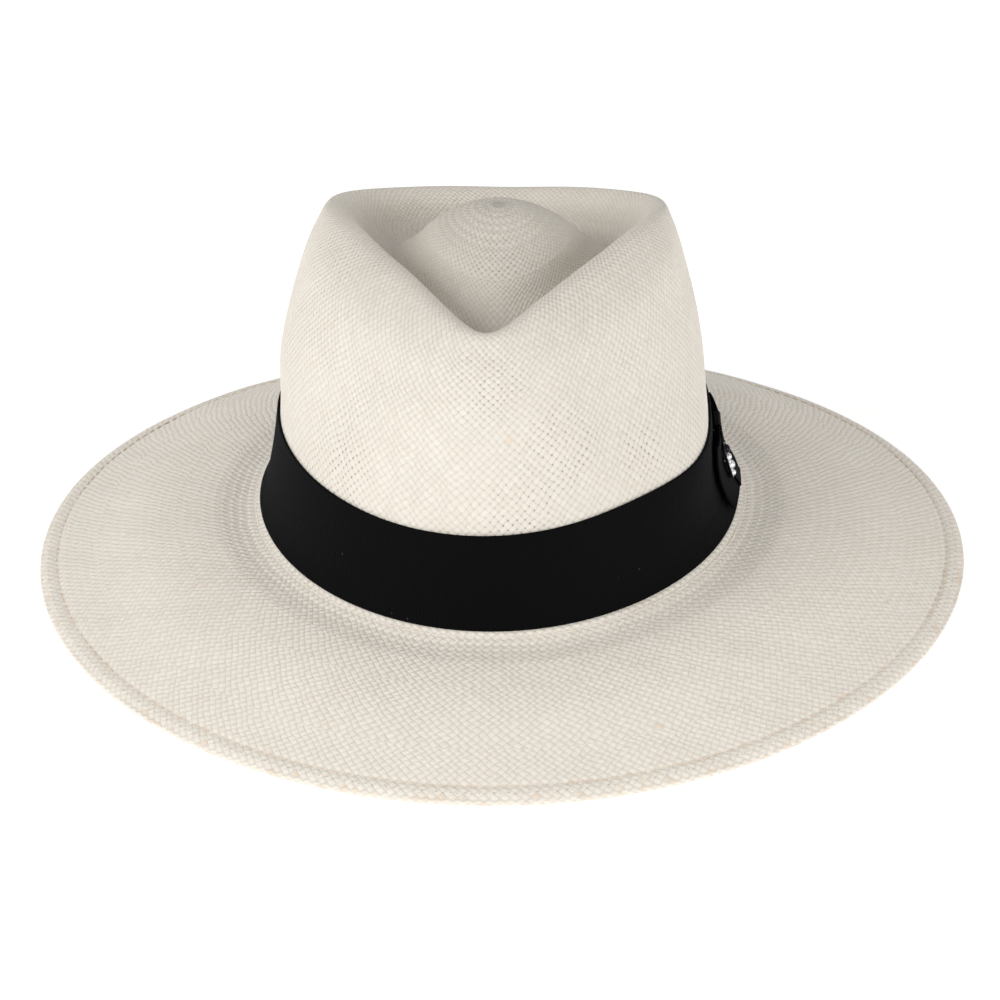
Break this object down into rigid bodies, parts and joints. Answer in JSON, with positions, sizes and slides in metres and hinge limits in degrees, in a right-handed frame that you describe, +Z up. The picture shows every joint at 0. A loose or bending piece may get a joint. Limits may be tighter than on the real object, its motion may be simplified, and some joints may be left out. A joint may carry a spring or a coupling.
{
  "type": "panama hat",
  "caption": "Wide-brimmed woven straw hat with a teardrop crown, a dark ribbon band with a flat bow and a small pull-off metal pin.",
  "frame": {"origin": "centre of the bounding box at the plane the brim edge rests on", "axes": "+Z up through the crown, -Y towards the front of the hat, +X towards the side with the bow"},
  "size_m": [0.3402, 0.366, 0.1345],
  "materials": {
    "straw": "matte",
    "ribbon": "matte",
    "thread": "satin",
    "leather": "satin",
    "tape": "matte",
    "reed": "matte",
    "silver": "polished",
    "steel": "satin",
    "label": "matte"
  },
  "bodies": {
    "hat": {"straw_body": "straw", "hem_thread": "thread", "hem_bobbin_thread": "thread", "hat_band": "ribbon", "bow_loops": "ribbon", "bow_tail": "ribbon", "bow_wrap": "ribbon", "pin_clutch": "steel", "sweatband": "leather", "sweatband_thread": "thread", "reed_tape": "tape", "sweatband_reed": "reed", "sweatband_seam_tape": "tape", "size_label": "label"},
    "pin": {"pin_badge": "silver", "pin_post": "steel"}
  },
  "joints": [
    {"name": "pin_pull", "type": "slide", "parent": "hat", "child": "pin", "axis": [0.9618, -0.0402, 0.2709], "range_m": [0, 0.008]}
  ]
}
